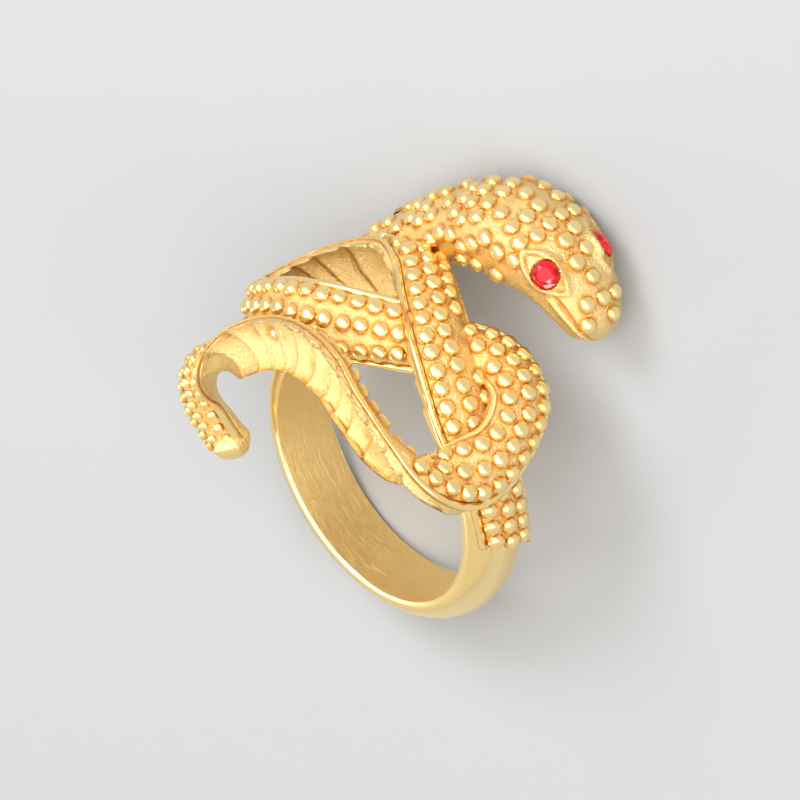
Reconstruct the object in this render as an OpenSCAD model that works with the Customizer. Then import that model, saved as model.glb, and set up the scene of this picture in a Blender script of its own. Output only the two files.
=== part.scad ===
// Snake wrap ring in cast steel with two cut stones for eyes, lying on its side as it rests.
// The ring is drawn upright first: X across the finger, Y along the finger, away from the
// front rim, Z towards the snake. Angles round the finger count from +X towards +Z.

/* [Finger and band] */
// Inside diameter of the band, the finger size
finger_d = 19.8; // [15:0.1:23]
// Width of the band along the finger
band_w = 4.9; // [3.8:0.1:6]
// Thickness of the band at the middle of its width
band_t = 2.2; // [1.6:0.1:2.8]
// Thickness of the band at its two edges
band_edge_t = 0.8; // [0.5:0.1:1.2]
// Angle at which the band ends under the snake on the right
band_right_angle = 46; // [40:1:60]
// Angle at which the band ends under the snake on the left
band_left_angle = 112; // [100:1:130]

/* [Snake body] */
// Width of the snake's body between its polished rims
body_w = 4.6; // [3.8:0.1:5.6]
// Rise of the studded back above the rims
back_h = 1.1; // [0.7:0.1:1.6]
// Height of the rims' outer walls
rim_h = 1.2; // [0.8:0.1:1.8]
// Width of each polished rim
rim_w = 0.45; // [0.3:0.05:0.7]
// Depth of the hollow, ribbed belly
belly_h = 0.6; // [0.2:0.1:0.9]

/* [Studs] */
// Distance between neighbouring studs
stud_pitch = 1.4; // [1.2:0.05:1.8]
// Height of a stud above the back
stud_h = 0.45; // [0.2:0.05:0.7]

/* [Head] */
// Width of the head at the jaws
head_w = 7.4; // [6:0.1:9]
// Rise of the skull above the lips
skull_h = 2.6; // [2:0.1:3.4]
// Height of the lips
lip_h = 0.6; // [0.3:0.1:1]
// Depth of the lower jaw below the lips
jaw_h = 1.7; // [1.2:0.1:2.4]

/* [Eyes] */
// Diameter of each eye stone
eye_d = 2; // [1.4:0.1:2.4]
// Gap between a stone and its socket
eye_gap = 0.05; // [0.03:0.01:0.1]
// Width of the raised rim round each eye
eye_rim = 0.35; // [0.2:0.05:0.5]
// Distance between the middles of the eyes, measured across the head
eye_span = 5.5; // [4:0.1:6]

/* [Resting place] */
// Pitch that lays the ring down on the far side of the band and head
rest_pitch = -67.8; // [-75:0.1:-60]
// Roll until the snake's side and the palm side carry it evenly
rest_roll = -8.7; // [-15:0.1:0]
// Spin on the table that brings the snake's face and tail to the front
rest_spin = -131; // [-180:1:180]

/* [Hidden] */
finger_r = finger_d / 2;
gold = [0.95, 0.8, 0.45];
ruby = [0.85, 0.1, 0.15];
// Heights of an eye stone's crown, girdle and pointed back, and the share that its table has
crown_h = 0.2 * eye_d;
girdle_h = 0.05 * eye_d;
pavilion_h = 0.4 * eye_d;
table_share = 0.55;
// Place of the eyes along the rows of NECK and their height, as shares of the rows and of
// skull_h, and how far they look up
eye_place_share = 0.686;
eye_rise_share = 0.71;
eye_tilt = 44;
// Least distance from the snake to the finger
finger_gap = 0.3;
// Metal inside the band before the finger hole is cut
bore_stock = 0.1;

// Rows along the body from the right shoulder to the tail's tip. Columns: angle round the
// finger, rise over the bore and place along the finger as shares of body_w, bank, which is
// 0 where the back faces away from the finger and 90 where it faces right of its course,
// and the width, the back's rise and the belly's hollow as shares of body_w, back_h and
// belly_h.
BODY = [
    [  5, 0.38, 0.56,   0, 1,    0.6, 0],
    [ 24, 0.42, 0.5,    0, 1.08, 0.7, 1],
    [ 47, 0.48, 0.46,   0, 1.18, 0.9, 1],
    [ 70, 0.68, 0.74,   5, 1.12, 1,   1],
    [ 88, 0.82, 1.22,  10, 1.02, 1,   1],
    [102, 0.9,  1.66,  30, 1,    1,   1],
    [112, 0.83, 1.62,  72, 1.05, 1,   1],
    [123, 0.83, 1.34,  86, 1.05, 1,   1],
    [136, 0.9,  1,     78, 0.96, 1,   1],
    [146, 1,    0.45,  58, 0.96, 0.9, 1],
    [143, 0.98,-0.05,  44, 1.06, 0.9, 1],
    [124, 0.76,-0.14,  50, 1.16, 1,   1],
    [106, 0.54, 0.08,  52, 1.22, 1,   1],
    [ 90, 0.46, 0.5,   44, 1.14, 1,   1],
    [ 74, 0.48, 0.98,  25, 1,    1,   1],
    [ 60, 0.72, 1.4,    0, 1.02, 1,   1],
    [ 46, 0.85, 1.3,   -5, 1.08, 1,   1],
    [ 36, 0.85, 0.65,   0, 1.06, 1,   1],
    [ 34, 0.76,-0.08,  15, 1.16, 1,   1],
    [ 40, 0.6, -0.78,  58, 1.02, 1,   1],
    [ 54, 0.44,-1.05,  84, 0.9,  1,   1],
    [ 72, 0.37,-1,     95, 0.8,  1,   1],
    [ 88, 0.4, -0.8,  100, 0.84, 1,   1],
    [105, 0.46,-0.68, 100, 0.88, 1,   1],
    [125, 0.48,-0.6,   95, 0.88, 1.1, 1],
    [142, 0.56,-0.72,  85, 0.82, 1.3, 1],
    [154, 0.66,-0.8,   46, 0.72, 1.6, 0.8],
    [165, 0.78,-0.8,  -12, 0.62, 1.8, 0.5],
    [175, 0.79,-0.7,  -58, 0.56, 1.8, 0.1],
    [185, 0.63,-0.58, -68, 0.5,  1.7,-0.6],
    [193, 0.5, -0.48, -70, 0.44, 1.6,-1],
    [197, 0.44,-0.42, -70, 0.34, 1.2,-0.6],
];

// Rows along the neck and head, from the root inside the left coil to the snout. The first
// four columns are those of BODY, then the width, the skull and the jaw as shares of
// head_w, skull_h and jaw_h.
NECK = [
    [142, 0.6,  1.3,  20, 0.64, 0.6,  0.6],
    [129, 0.84, 2.1,  20, 0.64, 0.55, 0.8],
    [114, 1.02, 2.4,  20, 0.7,  0.62, 1],
    [100, 1.28, 2.62, 12, 0.82, 0.75, 1.3],
    [ 87, 1.55, 2.76,  4, 1,    0.95, 1.6],
    [ 74, 1.62, 2.84,  0, 1,    1,    1.3],
    [ 63, 1.5,  2.84,  0, 0.82, 0.85, 0.7],
    [ 54, 1.36, 2.84,  0, 0.58, 0.6,  0.6],
    [ 51, 1.3,  2.84,  0, 0.36, 0.35, 0.4],
];

function unit(v) = v / norm(v);

// Row of a table at place s, counted in rows, on a smooth curve through the rows
function row_at(table, s) =
    let (last = len(table) - 1,
         i = min(floor(s), last - 1),
         t = s - i,
         a = table[max(i - 1, 0)],
         b = table[i],
         c = table[i + 1],
         d = table[min(i + 2, last)])
    (2 * b + (c - a) * t + (2 * a - 5 * b + 4 * c - d) * t * t
        + (3 * b - a - 3 * c + d) * t * t * t) / 2;

function spot(row) =
    let (r = finger_r + row[1] * body_w)
    [r * cos(row[0]), row[2] * body_w, r * sin(row[0])];

// Place, direction across and direction outwards of a section of the body
function frame_at(table, s) =
    let (last = len(table) - 1,
         row = row_at(table, s),
         ahead = spot(row_at(table, min(s + 0.05, last))),
         behind = spot(row_at(table, max(s - 0.05, 0))),
         along = unit(ahead - behind),
         radial = [cos(row[0]), 0, sin(row[0])],
         up = unit(radial - (radial * along) * along),
         side = cross(along, up))
    [spot(row), side * cos(row[3]) - up * sin(row[3]), up * cos(row[3]) + side * sin(row[3])];

// The same point, or the nearest one just clear of the finger
function off_finger(p) =
    let (r = norm([p.x, p.z]), out = max(1, (finger_r + finger_gap) / r))
    [p.x * out, p.y, p.z * out];

// Points round one section: rim, studded back from left to right, rim, belly
function section(frame, half_w, dome, edge, hollow, cols, flatness) =
    let (at = function(x, y) off_finger(frame[0] + frame[1] * x + frame[2] * y),
         inner = half_w - rim_w)
    concat(
        [at(-half_w, 0)],
        [for (j = [0:2 * cols])
            let (turn = 90 * j / cols)
            at(-inner * cos(turn), dome * pow(sin(turn), flatness))],
        [at(half_w, 0), at(half_w, -edge), at(half_w * 0.6, hollow - edge), at(0, hollow * 1.15 - edge),
         at(-half_w * 0.6, hollow - edge), at(-half_w, -edge)]);

// Places along a table one stud pitch apart, for a pitch that shrinks with the width
function steps(table, fine = 8) =
    let (n = (len(table) - 1) * fine,
         here = [for (i = [0:n]) spot(row_at(table, i / fine))],
         gaps = [for (i = [0:n - 1])
             norm(here[i + 1] - here[i]) / min(1, row_at(table, i / fine)[4])],
         sums = [for (i = 0, l = 0; i <= n; l = l + (i < n ? gaps[i] : 0), i = i + 1) l],
         count = round(sums[n] / stud_pitch),
         back = [for (i = [0:n]) [sums[i], i / fine]])
    [for (k = [0:count]) lookup(k * sums[n] / count, back)];

function quad(a, b, c, d) = [[a, b, c], [a, c, d]];

// One stud on a six-sided cell whose corners run round it
function stud(corners, height) =
    let (middle = (corners[0] + corners[1] + corners[2] + corners[3] + corners[4] + corners[5]) / 6,
         out = unit(cross(corners[3] - corners[0], corners[5] - corners[2])),
         reach = min(stud_pitch * 0.3, 0.75 * min([for (c = corners) norm(c - middle)])),
         ring = [for (c = corners) middle + unit(c - middle) * reach + out * height * 0.75],
         top = middle + out * height)
    [for (i = [0:5])
        let (j = (i + 1) % 6)
        each concat(quad(corners[i], corners[j], ring[j], ring[i]), [[ring[i], ring[j], top]])];

// Studded strip between sections a and b. Every other strip is shifted by half a stud.
function strip(a, b, cols, odd, height) =
    let (k = len(a), first = odd ? 1 : 0, cells = odd ? cols - 1 : cols)
    concat(
        [for (c = [0:cells - 1])
            let (j = 1 + first + 2 * c)
            each stud([a[j], a[j + 1], a[j + 2], b[j + 2], b[j + 1], b[j]], height)],
        [for (j = odd ? [1, 2 * cols] : []) each quad(a[j], a[j + 1], b[j + 1], b[j])],
        [for (j = [0, each [2 * cols + 1:k - 1]])
            let (i = (j + 1) % k)
            each quad(a[j], a[i], b[i], b[j])]);

// Triangles that close a section of k points, fanned from the middle of its belly
function closing(k) = concat(
    [for (i = [0:k - 7]) [k - 3, i, i + 1]],
    [[k - 3, k - 6, k - 4], [k - 4, k - 6, k - 5], [k - 2, k - 1, 0], [k - 3, k - 2, 0]]);

module skin(rings, cols, heights) {
    last = len(rings) - 1;
    ends = closing(len(rings[0]));
    triangles = concat(
        [for (i = [0:last - 1]) each strip(rings[i], rings[i + 1], cols, i % 2 == 1, heights[i])],
        [for (t = ends) [rings[0][t[2]], rings[0][t[1]], rings[0][t[0]]]],
        [for (t = ends) [for (i = t) rings[last][i]]]);
    polyhedron(
        points = [for (t = triangles) each t],
        faces = [for (i = [0:len(triangles) - 1]) [3 * i, 3 * i + 2, 3 * i + 1]]);
}

module body(from, to) {
    places = [for (s = steps(BODY)) if (s >= from && s <= to) s];
    all = concat(from > 0 ? [from] : [], places, to < len(BODY) - 1 ? [to] : []);
    rings = [for (s = all)
        let (row = row_at(BODY, s))
        section(frame_at(BODY, s), row[4] * body_w / 2, row[5] * back_h,
                rim_h * min(1, row[4]), belly_h * row[6], 3, 0.8)];
    skin(rings, 3, [for (s = all) stud_h * min(1, row_at(BODY, s)[4])]);
}

module neck() {
    places = steps(NECK);
    rings = [for (s = places)
        let (row = row_at(NECK, s))
        section(frame_at(NECK, s), row[4] * head_w / 2, row[5] * skull_h,
                lip_h * row[6], -jaw_h * row[6], 5, 0.6)];
    skin(rings, 5, [for (s = places) stud_h * min(1, 2 * row_at(NECK, s)[4])]);
}

// Band with its outside domed, and a little metal left inside for the finger hole to cut away
module band() {
    dome_rise = band_t - band_edge_t;
    dome_r = (band_w * band_w / 4 + dome_rise * dome_rise) / (2 * dome_rise);
    rotate([90, 0, 0])
        mirror([0, 0, 1])
            rotate_extrude(angle = 360 - band_left_angle + band_right_angle, start = band_left_angle, $fn = 96)
                intersection() {
                    translate([finger_r + band_t - dome_r, band_w / 2])
                        circle(dome_r, $fn = 48);
                    translate([finger_r - bore_stock, 0])
                        square([2 * band_t, band_w]);
                }
}

module finger_hole() {
    translate([0, -band_w, 0])
        rotate([-90, 0, 0])
            cylinder(h = 3 * band_w, r = finger_r, $fn = 180);
}

// Puts its children at an eye, with +Z looking out of it. Side is 1 or -1.
module at_eye(side) {
    frame = frame_at(NECK, eye_place_share * (len(NECK) - 1));
    out = unit(frame[1] * side * cos(eye_tilt) + frame[2] * sin(eye_tilt));
    fore = unit(cross(frame[1] * side, frame[2]));
    place = frame[0] + frame[1] * side * eye_span / 2 + frame[2] * skull_h * eye_rise_share;
    aside = cross(out, fore);
    multmatrix([for (i = [0:2]) [fore[i], aside[i], out[i], place[i]]])
        children();
}

module eye_boss(side) {
    at_eye(side)
        translate([0, 0, -eye_d])
            cylinder(h = eye_d, r = eye_d / 2 + eye_gap + eye_rim, $fn = 24);
}

module eye_socket(side) {
    at_eye(side)
        translate([0, 0, -pavilion_h - eye_gap])
            cylinder(h = eye_d + pavilion_h, r = eye_d / 2 + eye_gap, $fn = 36);
}

// Round stone with an eight-sided table, sixteen crown facets and a pointed back
module eye_stone(side) {
    color(ruby)
        at_eye(side)
            hull() {
                translate([0, 0, crown_h - girdle_h])
                    cylinder(h = girdle_h, r = eye_d * table_share / 2, $fn = 8);
                translate([0, 0, -girdle_h / 2])
                    rotate([0, 0, 22.5])
                        cylinder(h = girdle_h, r = eye_d / 2, $fn = 8);
                translate([0, 0, -girdle_h / 2])
                    cylinder(h = girdle_h, r = eye_d / 2, $fn = 8);
                translate([0, 0, -pavilion_h])
                    cylinder(h = girdle_h, r = girdle_h, $fn = 8);
            }
}

module snake() {
    body(0, 9.5);
    body(9.5, 17.5);
    body(17.5, len(BODY) - 1);
    neck();
    eye_boss(1);
    eye_boss(-1);
}

// Lays the upright ring down, with the middle of the finger hole at the origin
module at_rest() {
    rotate([rest_pitch, rest_roll, rest_spin])
        translate([0, -band_w / 2, 0])
            children();
}

module cast_ring() {
    color(gold)
        at_rest()
            difference() {
                // A resize by nothing turns the band and the crossing coils into one skin
                resize([0, 0, 0])
                    difference() {
                        union() {
                            band();
                            snake();
                        }
                        eye_socket(1);
                        eye_socket(-1);
                    }
                finger_hole();
            }
}

module eye_stone_left() {
    at_rest()
        eye_stone(-1);
}

module eye_stone_right() {
    at_rest()
        eye_stone(1);
}

cast_ring();
eye_stone_left();
eye_stone_right();
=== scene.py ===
"""Snake wrap ring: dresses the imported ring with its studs, scales, polish and stones.

The ring is shaped upright, in millimetres, with X across the finger, Y along the finger and
Z towards the snake, and is then laid on its side in metres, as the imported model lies. Where
nothing else is said, lengths are in mm and the turns round a section in degrees, from 0 at
its right edge over 90 at the middle of the back to 180 at its left edge.
"""

import math

import bmesh
import bpy
import numpy as np
from bpy.props import FloatProperty, FloatVectorProperty, PointerProperty
from mathutils import Euler, Matrix, Vector
from mathutils.kdtree import KDTree


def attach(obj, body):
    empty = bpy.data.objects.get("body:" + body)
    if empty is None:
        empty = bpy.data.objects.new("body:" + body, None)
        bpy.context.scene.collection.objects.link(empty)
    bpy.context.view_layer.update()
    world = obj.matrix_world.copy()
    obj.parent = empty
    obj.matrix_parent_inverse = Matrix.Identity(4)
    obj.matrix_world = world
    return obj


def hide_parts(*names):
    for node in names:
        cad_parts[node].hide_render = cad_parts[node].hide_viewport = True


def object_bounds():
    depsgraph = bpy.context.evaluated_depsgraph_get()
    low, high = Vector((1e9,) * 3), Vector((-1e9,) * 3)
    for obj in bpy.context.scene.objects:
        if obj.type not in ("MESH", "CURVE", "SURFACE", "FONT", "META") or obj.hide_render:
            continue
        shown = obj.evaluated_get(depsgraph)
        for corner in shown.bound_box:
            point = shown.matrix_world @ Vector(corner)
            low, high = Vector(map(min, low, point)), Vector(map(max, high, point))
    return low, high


bl_info = {
    "name": "Snake wrap ring",
    "version": (1, 0, 0),
    "blender": (4, 5, 0),
    "location": "3D View > Sidebar > Snake ring",
    "description": "Builds the studded snake, band, stones and studio of a snake wrap ring",
    "category": "Object",
}

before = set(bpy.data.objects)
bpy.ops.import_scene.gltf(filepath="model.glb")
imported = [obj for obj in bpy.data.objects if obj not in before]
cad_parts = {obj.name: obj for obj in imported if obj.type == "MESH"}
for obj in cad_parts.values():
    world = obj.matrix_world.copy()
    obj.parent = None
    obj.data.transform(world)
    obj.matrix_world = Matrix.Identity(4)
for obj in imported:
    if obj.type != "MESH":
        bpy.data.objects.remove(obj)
CAD_BOX = [list(corner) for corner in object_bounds()]

MM = 0.001

# Rows along the body from the right shoulder to the tail's tip, as in the part's source:
# angle round the finger, rise over the bore and place along the finger as shares of the
# body's width, bank, then shares of the width, of the back's rise and of the belly's hollow.
BODY = np.array([
    [5, 0.38, 0.56, 0, 1, 0.6, 0],
    [24, 0.42, 0.5, 0, 1.08, 0.7, 1],
    [47, 0.48, 0.46, 0, 1.18, 0.9, 1],
    [70, 0.68, 0.74, 5, 1.12, 1, 1],
    [88, 0.82, 1.22, 10, 1.02, 1, 1],
    [102, 0.9, 1.66, 30, 1, 1, 1],
    [112, 0.83, 1.62, 72, 1.05, 1, 1],
    [123, 0.83, 1.34, 86, 1.05, 1, 1],
    [136, 0.9, 1, 78, 0.96, 1, 1],
    [146, 1, 0.45, 58, 0.96, 0.9, 1],
    [143, 0.98, -0.05, 44, 1.06, 0.9, 1],
    [124, 0.76, -0.14, 50, 1.16, 1, 1],
    [106, 0.54, 0.08, 52, 1.22, 1, 1],
    [90, 0.46, 0.5, 44, 1.14, 1, 1],
    [74, 0.48, 0.98, 25, 1, 1, 1],
    [60, 0.72, 1.4, 0, 1.02, 1, 1],
    [46, 0.85, 1.3, -5, 1.08, 1, 1],
    [36, 0.85, 0.65, 0, 1.06, 1, 1],
    [34, 0.76, -0.08, 15, 1.16, 1, 1],
    [40, 0.6, -0.78, 58, 1.02, 1, 1],
    [54, 0.44, -1.05, 84, 0.9, 1, 1],
    [72, 0.37, -1, 95, 0.8, 1, 1],
    [88, 0.4, -0.8, 100, 0.84, 1, 1],
    [105, 0.46, -0.68, 100, 0.88, 1, 1],
    [125, 0.48, -0.6, 95, 0.88, 1.1, 1],
    [142, 0.56, -0.72, 85, 0.82, 1.3, 1],
    [154, 0.66, -0.8, 46, 0.72, 1.6, 0.8],
    [165, 0.78, -0.8, -12, 0.62, 1.8, 0.5],
    [175, 0.79, -0.7, -58, 0.56, 1.8, 0.1],
    [185, 0.63, -0.58, -68, 0.5, 1.7, -0.6],
    [193, 0.5, -0.48, -70, 0.44, 1.6, -1],
    [197, 0.44, -0.42, -70, 0.34, 1.2, -0.6],
])

# Rows along the neck and head: as BODY up to the bank, then shares of the head's width, of
# the skull's rise and of the jaw's depth.
NECK = np.array([
    [142, 0.6, 1.3, 20, 0.64, 0.6, 0.6],
    [129, 0.84, 2.1, 20, 0.64, 0.55, 0.8],
    [114, 1.02, 2.4, 20, 0.7, 0.62, 1],
    [100, 1.28, 2.62, 12, 0.82, 0.75, 1.3],
    [87, 1.55, 2.76, 4, 1, 0.95, 1.6],
    [74, 1.62, 2.84, 0, 1, 1, 1.3],
    [63, 1.5, 2.84, 0, 0.82, 0.85, 0.7],
    [54, 1.36, 2.84, 0, 0.58, 0.6, 0.6],
    [51, 1.3, 2.84, 0, 0.36, 0.35, 0.4],
])


def size(name, default, description):
    return FloatProperty(name=name, description=description, default=default, min=0, soft_max=40)


def colour(name, default, description):
    return FloatVectorProperty(name=name, description=description, default=default,
                               subtype="COLOR", size=3, min=0, max=1)


class SNAKE_PG_sizes(bpy.types.PropertyGroup):
    finger_d: size("Finger size", 19.8, "Inside diameter of the band, in mm")
    band_w: size("Band width", 4.9, "Width of the band along the finger, in mm")
    band_t: size("Band thickness", 2.2, "Thickness at the middle of the band's width, in mm")
    band_edge_t: size("Band edge", 0.8, "Thickness of the band at its edges, in mm")
    band_right: FloatProperty(name="Band's right end", default=math.radians(46), subtype="ANGLE",
                              description="Angle at which the band ends under the right coil")
    band_left: FloatProperty(name="Band's left end", default=math.radians(112), subtype="ANGLE",
                             description="Angle at which the band ends under the left coil")
    body_w: size("Body width", 4.6, "Width of the snake's body over its rims, in mm")
    back_h: size("Back rise", 1.1, "Rise of the studded back above the rims, in mm")
    rim_h: size("Rim height", 1.2, "Height of the rims' outer walls, in mm")
    rim_w: size("Rim width", 0.45, "Width of each polished rim, in mm")
    belly_h: size("Belly hollow", 0.6, "Depth of the hollow belly, in mm")
    flute_pitch: size("Belly folds", 2.2, "Usual distance between the belly's folds, in mm")
    head_w: size("Head width", 7.4, "Width of the head at the jaws, in mm")
    skull_h: size("Skull rise", 2.6, "Rise of the skull above the lips, in mm")
    lip_h: size("Lip height", 0.6, "Height of the lips, in mm")
    jaw_h: size("Jaw depth", 1.7, "Depth of the lower jaw below the lips, in mm")
    stud_pitch: size("Stud pitch", 1.4, "Distance between neighbouring studs, in mm")
    stud_d: size("Stud width", 1.28, "Width of a stud across its foot, in mm")
    stud_h: size("Stud height", 0.44, "Height of a stud above the back, in mm")
    eye_d: size("Eye stone", 2.0, "Diameter of each eye stone, in mm")
    eye_span: size("Eye span", 5.5, "Distance between the middles of the eyes, in mm")


class SNAKE_PG_colours(bpy.types.PropertyGroup):
    polished: colour("Polished gold", (1.0, 0.78, 0.36), "Gold on studs, rims and band")
    # Shaded is a darker gold that carries the painted shade between studs and in grooves, and the
    # random tone of the metal's pits
    shaded: colour("Gold in recesses", (0.68, 0.28, 0.025), "Gold between studs and in grooves")
    satin: colour("Satin gold", (0.95, 0.66, 0.26), "Gold of brushed lines inside the band")
    stone: colour("Stone", (0.86, 0.012, 0.03), "Body colour of the eye stones")
    floor: colour("Floor", (0.4, 0.415, 0.44), "Colour of the plain floor")


# Laying down

REST = Euler((math.radians(-67.8), math.radians(-8.7), math.radians(-131)), "XYZ").to_matrix()


def lay_down(points, sizes):
    """Upright millimetres to metres where the ring lies."""
    points = np.asarray(points, float) - [0, sizes.band_w / 2, 0]
    return points @ np.array(REST).T * MM


def unit(v):
    return v / np.linalg.norm(v, axis=-1, keepdims=True)


# Course of the snake

FINE_PER_ROW = 40  # Points between two rows that measure a course
LOOK_ROWS = 0.05  # How far ahead and behind, in rows, a section looks for its direction
SLANT_REACH = 5  # How far along a slanted start fades out
SLANT_POWER = 1.5
FINGER_GAP = 0.3  # Least distance from the snake to the finger


def row_at(table, s):
    """Rows of a table at places s, counted in rows, on a smooth curve through the rows."""
    s = np.atleast_1d(np.asarray(s, float))
    last = len(table) - 1
    i = np.minimum(np.floor(s), last - 1).astype(int)
    t = (s - i)[:, None]
    a, b, c, d = (table[np.clip(i + k, 0, last)] for k in (-1, 0, 1, 2))
    return (2 * b + (c - a) * t + (2 * a - 5 * b + 4 * c - d) * t ** 2
            + (3 * b - a - 3 * c + d) * t ** 3) / 2


def spot(rows, sizes):
    r = sizes.finger_d / 2 + rows[:, 1] * sizes.body_w
    angle = np.radians(rows[:, 0])
    return np.stack([r * np.cos(angle), rows[:, 2] * sizes.body_w, r * np.sin(angle)], axis=1)


class Course:
    """Evenly spaced sections along a table: places, directions across and outwards, rows."""

    def __init__(self, table, sizes, step, slant=0, lead=0):
        """Slant skews the first sections, and lead is how far the first one reaches back."""
        self.slant, self.lead = slant, lead
        last = len(table) - 1
        fine = np.linspace(0, last, last * FINE_PER_ROW + 1)
        run = np.linalg.norm(np.diff(spot(row_at(table, fine), sizes), axis=0), axis=1)
        run = np.concatenate([[0], np.cumsum(run)])
        self.length = run[-1]
        self.table, self.sizes, self.fine, self.run = table, sizes, fine, run
        self.far = np.linspace(0, self.length, int(round(self.length / step)) + 1)
        self.place, self.across, self.out, self.rows = self.at(self.far)
        self.s = self.row_place(self.far)

    def row_place(self, far):
        return np.interp(far, self.run, self.fine)

    def at(self, far):
        last = len(self.table) - 1
        s = self.row_place(far)
        rows = row_at(self.table, s)
        ahead = spot(row_at(self.table, np.minimum(s + LOOK_ROWS, last)), self.sizes)
        behind = spot(row_at(self.table, np.maximum(s - LOOK_ROWS, 0)), self.sizes)
        along = unit(ahead - behind)
        angle = np.radians(rows[:, 0])
        radial = np.stack([np.cos(angle), 0 * angle, np.sin(angle)], axis=1)
        up = unit(radial - (radial * along).sum(1)[:, None] * along)
        side = np.cross(along, up)
        c, d = np.cos(np.radians(rows[:, 3]))[:, None], np.sin(np.radians(rows[:, 3]))[:, None]
        early = np.clip(1 - np.asarray(far) / SLANT_REACH, 0, 1)[:, None] ** SLANT_POWER
        place = spot(rows, self.sizes) - along * self.lead * early
        across = side * c - up * d - along * self.slant * early
        return place, across, up * c + side * d, rows


def off_finger(points, sizes):
    """The same points, or the nearest ones just clear of the finger."""
    r = np.linalg.norm(points[..., [0, 2]], axis=-1)
    out = np.maximum(1, (sizes.finger_d / 2 + FINGER_GAP) / r)[..., None]
    return points * np.concatenate([out, np.ones_like(out), out], axis=-1)


# Meshes

LEAST_CLEARANCE = 0.00001  # Height in metres that keeps every point off the floor


class Skin:
    """Vertices, faces and the masks that the gold reads, gathered into one mesh."""

    def __init__(self):
        self.points, self.faces, self.masks, self.count = [], [], [], 0

    def add(self, points, faces, polish, shade, grain):
        """Grain is the place along and across the metal's grain."""
        n = len(points)
        self.points.append(np.asarray(points, float))
        self.faces.extend([[i + self.count for i in f] for f in faces])
        masks = np.empty((n, 5))
        masks[:, 0], masks[:, 1], masks[:, 2:] = polish, shade, grain
        self.masks.append(masks)
        self.count += n

    def finish(self, name, sizes, material, smooth=True):
        mesh = bpy.data.meshes.new(name)
        laid = lay_down(np.concatenate(self.points), sizes)
        laid[:, 2] = np.maximum(laid[:, 2], CAD_BOX[0][2] + LEAST_CLEARANCE)
        mesh.from_pydata(laid.tolist(), [], self.faces)
        mesh.validate()
        masks = np.concatenate(self.masks)
        for i, label in enumerate(("polish", "shade")):
            layer = mesh.attributes.new(label, "FLOAT", "POINT")
            layer.data.foreach_set("value", masks[:, i].astype(np.float32))
        layer = mesh.attributes.new("grain", "FLOAT_VECTOR", "POINT")
        layer.data.foreach_set("vector", masks[:, 2:].astype(np.float32).ravel())
        mesh.polygons.foreach_set("use_smooth", [smooth] * len(mesh.polygons))
        mesh.materials.append(material)
        obj = bpy.data.objects.new(name, mesh)
        bpy.context.scene.collection.objects.link(obj)
        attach(obj, "root")
        return obj


class Section:
    """Profile of a strand, gathered point by point round its section."""

    def __init__(self, count):
        self.count, self.columns = count, []

    def put(self, x, y, polish, shade):
        self.columns.append([value * np.ones(self.count) for value in (x, y, polish, shade)])

    def gathered(self):
        """x, y, polish and shade, each with a row for every section along the strand."""
        return np.array(self.columns).transpose(1, 2, 0)


def rounded_end(course, x, y, reach, extra):
    """Shrinks the last sections to a blunt, rounded end that reaches a little further."""
    into = np.clip((course.far - (course.length - reach)) / reach, 0, 0.997)
    ahead = np.cross(course.out, course.across) * (extra * into)[:, None]
    shrink = np.sqrt(1 - into ** 2)[:, None]
    return x * shrink, y * shrink, ahead[:, None]


def strand_points(course, x, y, ahead, sizes):
    points = (course.place[:, None] + course.across[:, None] * x[..., None]
              + course.out[:, None] * y[..., None] + ahead)
    return off_finger(points, sizes)


def tube_faces(rings, around):
    return [(i * around + j, i * around + (j + 1) % around,
             (i + 1) * around + (j + 1) % around, (i + 1) * around + j)
            for i in range(rings - 1) for j in range(around)]


def shut_tube_faces(rings, around):
    """Faces of a tube with both ends shut."""
    return tube_faces(rings, around) + [
        tuple(reversed(range(around))), tuple(range((rings - 1) * around, rings * around))]


# Studs and the metal between them

# Rings of a stud from its sunk foot up: shares of its radius and height, and painted shade,
# darkest at the foot
BEAD = ((1.08, -0.55, 1), (1.02, 0, 0.9), (0.97, 0.2, 0.6), (0.9, 0.45, 0.2), (0.76, 0.7, 0),
        (0.55, 0.88, 0), (0.28, 0.97, 0))
BEAD_SIDES = 18
BEAD_POLISH = 0.6
# Shares that full wear takes off a stud's width, height and distance to the next one, off
# its polish and the painted shade at its foot and round it, and off the even spread of lines
WORN_WIDTH, WORN_HEIGHT, WORN_PITCH = 0.22, 0.25, 0.25
WORN_GLOSS, WORN_FOOT_SHADE, WORN_SHADE, WORN_SPREAD = 0.32, 0.32, 0.45, 0.3
WORN_SQUARE = 0.08  # How far a worn stud's outline departs from round
STRAY_ALONG, STRAY_TURN = 0.08, 3  # How far a stud may stray from its line
LEAST_SCALE, MOST_SCALE = 0.94, 1.04
TRY_ALONG, TRY_TURN = 0.3, 6  # Steps of the search for bare metal
SHADE_REACH = 0.2  # Width of the ring of painted shade round a stud
# Strongest painted shade round a stud's foot
FOOT_SHADE = 0.75
SKIN_SHADE = 0.1


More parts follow.
